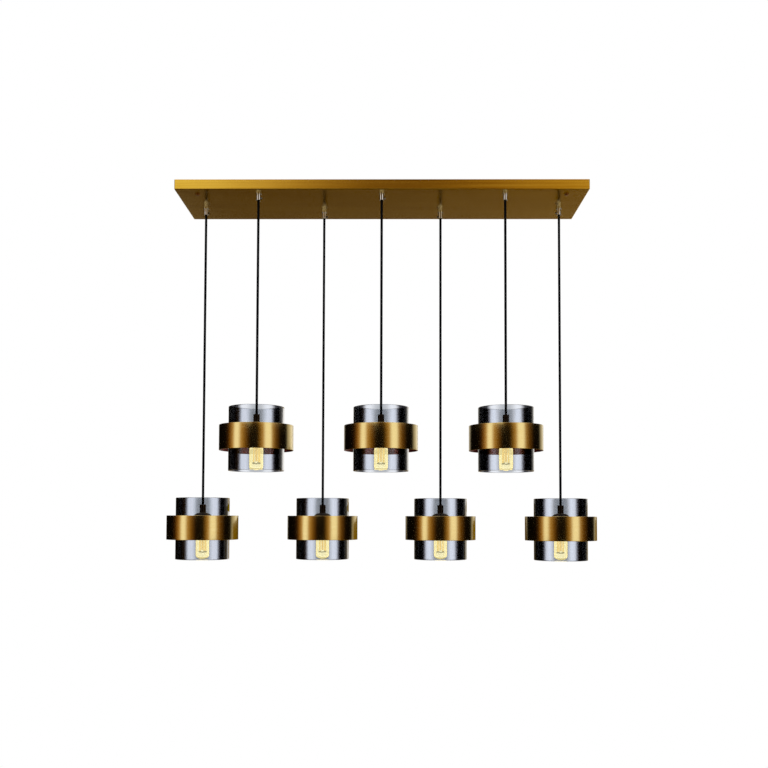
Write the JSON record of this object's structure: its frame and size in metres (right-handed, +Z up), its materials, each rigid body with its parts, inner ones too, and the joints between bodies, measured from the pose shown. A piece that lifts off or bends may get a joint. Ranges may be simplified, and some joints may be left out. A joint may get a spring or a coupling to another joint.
{
  "type": "cluster pendant light",
  "caption": "Linear cluster pendant: rectangular brushed-brass ceiling pan, black cords and round smoke-glass shades, each in a wide brass band with a tubular filament bulb.",
  "frame": {"origin": "centre of the ceiling pan's open top, in the ceiling plane", "axes": "+Z up, out of the pan into the ceiling; +X along the length of the pan; the pictured side faces -Y"},
  "size_m": [0.97, 0.284, 0.8265],
  "materials": {
    "canopy_brass": "brushed antique brass",
    "band_brass": "brushed brass, lacquered",
    "disc_bronze": "dark bronze, semi-matt",
    "holder_bronze": "dark bronze, satin",
    "smoke_glass": "clear smoke grey",
    "bulb_glass": "clear, with filaments",
    "cord": "black textile sleeve",
    "chrome_grip": "polished",
    "chrome_screw": "polished",
    "zinc_steel": "zinc plated",
    "screw_brass": "polished",
    "terminal_plastic": "natural white"
  },
  "bodies": {
    "canopy": {"canopy_pan": "canopy_brass", "ceiling_bracket": "zinc_steel", "bracket_spacers": "zinc_steel", "fixing_screws": "screw_brass", "cord_grips": "chrome_grip", "grip_screws": "chrome_screw", "grip_nuts": "zinc_steel", "cord_tails": "cord", "terminal_block": "terminal_plastic", "earth_terminal": "screw_brass"},
    "hanger_1": {"cord_1": "cord"},
    "shade_1": {"brass_band_1": "band_brass", "carrier_disc_1": "disc_bronze", "upper_glass_1": "smoke_glass", "lower_glass_1": "smoke_glass", "lampholder_1": "holder_bronze"},
    "lamp_1": {"bulb_1": "bulb_glass"},
    "hanger_2": {"cord_2": "cord"},
    "shade_2": {"brass_band_2": "band_brass", "carrier_disc_2": "disc_bronze", "upper_glass_2": "smoke_glass", "lower_glass_2": "smoke_glass", "lampholder_2": "holder_bronze"},
    "lamp_2": {"bulb_2": "bulb_glass"},
    "hanger_3": {"cord_3": "cord"},
    "shade_3": {"brass_band_3": "band_brass", "carrier_disc_3": "disc_bronze", "upper_glass_3": "smoke_glass", "lower_glass_3": "smoke_glass", "lampholder_3": "holder_bronze"},
    "lamp_3": {"bulb_3": "bulb_glass"},
    "hanger_4": {"cord_4": "cord"},
    "shade_4": {"brass_band_4": "band_brass", "carrier_disc_4": "disc_bronze", "upper_glass_4": "smoke_glass", "lower_glass_4": "smoke_glass", "lampholder_4": "holder_bronze"},
    "lamp_4": {"bulb_4": "bulb_glass"},
    "hanger_5": {"cord_5": "cord"},
    "shade_5": {"brass_band_5": "band_brass", "carrier_disc_5": "disc_bronze", "upper_glass_5": "smoke_glass", "lower_glass_5": "smoke_glass", "lampholder_5": "holder_bronze"},
    "lamp_5": {"bulb_5": "bulb_glass"},
    "hanger_6": {"cord_6": "cord"},
    "shade_6": {"brass_band_6": "band_brass", "carrier_disc_6": "disc_bronze", "upper_glass_6": "smoke_glass", "lower_glass_6": "smoke_glass", "lampholder_6": "holder_bronze"},
    "lamp_6": {"bulb_6": "bulb_glass"},
    "hanger_7": {"cord_7": "cord"},
    "shade_7": {"brass_band_7": "band_brass", "carrier_disc_7": "disc_bronze", "upper_glass_7": "smoke_glass", "lower_glass_7": "smoke_glass", "lampholder_7": "holder_bronze"},
    "lamp_7": {"bulb_7": "bulb_glass"}
  },
  "joints": [
    {"name": "swing_1", "type": "hinge", "parent": "canopy", "child": "hanger_1", "pos_m": [-0.405, 0.022, -0.038], "axis": [1, 0, 0], "range_deg": [-15, 15]},
    {"name": "cord_length_1", "type": "slide", "parent": "hanger_1", "child": "shade_1", "axis": [0, 0, 1], "range_m": [0, 0.195], "deforming": ["cord_1"]},
    {"name": "bulb_out_1", "type": "slide", "parent": "shade_1", "child": "lamp_1", "axis": [0, 0, -1], "range_m": [0, 0.1]},
    {"name": "swing_2", "type": "hinge", "parent": "canopy", "child": "hanger_2", "pos_m": [-0.27, -0.076, -0.038], "axis": [1, 0, 0], "range_deg": [-15, 15]},
    {"name": "cord_length_2", "type": "slide", "parent": "hanger_2", "child": "shade_2", "axis": [0, 0, 1], "range_m": [0, 0.195], "deforming": ["cord_2"]},
    {"name": "bulb_out_2", "type": "slide", "parent": "shade_2", "child": "lamp_2", "axis": [0, 0, -1], "range_m": [0, 0.1]},
    {"name": "swing_3", "type": "hinge", "parent": "canopy", "child": "hanger_3", "pos_m": [-0.135, 0.048, -0.038], "axis": [1, 0, 0], "range_deg": [-15, 15]},
    {"name": "cord_length_3", "type": "slide", "parent": "hanger_3", "child": "shade_3", "axis": [0, 0, 1], "range_m": [0, 0.195], "deforming": ["cord_3"]},
    {"name": "bulb_out_3", "type": "slide", "parent": "shade_3", "child": "lamp_3", "axis": [0, 0, -1], "range_m": [0, 0.1]},
    {"name": "swing_4", "type": "hinge", "parent": "canopy", "child": "hanger_4", "pos_m": [0, -0.076, -0.038], "axis": [1, 0, 0], "range_deg": [-15, 15]},
    {"name": "cord_length_4", "type": "slide", "parent": "hanger_4", "child": "shade_4", "axis": [0, 0, 1], "range_m": [0, 0.195], "deforming": ["cord_4"]},
    {"name": "bulb_out_4", "type": "slide", "parent": "shade_4", "child": "lamp_4", "axis": [0, 0, -1], "range_m": [0, 0.1]},
    {"name": "swing_5", "type": "hinge", "parent": "canopy", "child": "hanger_5", "pos_m": [0.135, 0.048, -0.038], "axis": [1, 0, 0], "range_deg": [-15, 15]},
    {"name": "cord_length_5", "type": "slide", "parent": "hanger_5", "child": "shade_5", "axis": [0, 0, 1], "range_m": [0, 0.195], "deforming": ["cord_5"]},
    {"name": "bulb_out_5", "type": "slide", "parent": "shade_5", "child": "lamp_5", "axis": [0, 0, -1], "range_m": [0, 0.1]},
    {"name": "swing_6", "type": "hinge", "parent": "canopy", "child": "hanger_6", "pos_m": [0.27, -0.076, -0.038], "axis": [1, 0, 0], "range_deg": [-15, 15]},
    {"name": "cord_length_6", "type": "slide", "parent": "hanger_6", "child": "shade_6", "axis": [0, 0, 1], "range_m": [0, 0.195], "deforming": ["cord_6"]},
    {"name": "bulb_out_6", "type": "slide", "parent": "shade_6", "child": "lamp_6", "axis": [0, 0, -1], "range_m": [0, 0.1]},
    {"name": "swing_7", "type": "hinge", "parent": "canopy", "child": "hanger_7", "pos_m": [0.405, 0.022, -0.038], "axis": [1, 0, 0], "range_deg": [-15, 15]},
    {"name": "cord_length_7", "type": "slide", "parent": "hanger_7", "child": "shade_7", "axis": [0, 0, 1], "range_m": [0, 0.195], "deforming": ["cord_7"]},
    {"name": "bulb_out_7", "type": "slide", "parent": "shade_7", "child": "lamp_7", "axis": [0, 0, -1], "range_m": [0, 0.1]}
  ]
}
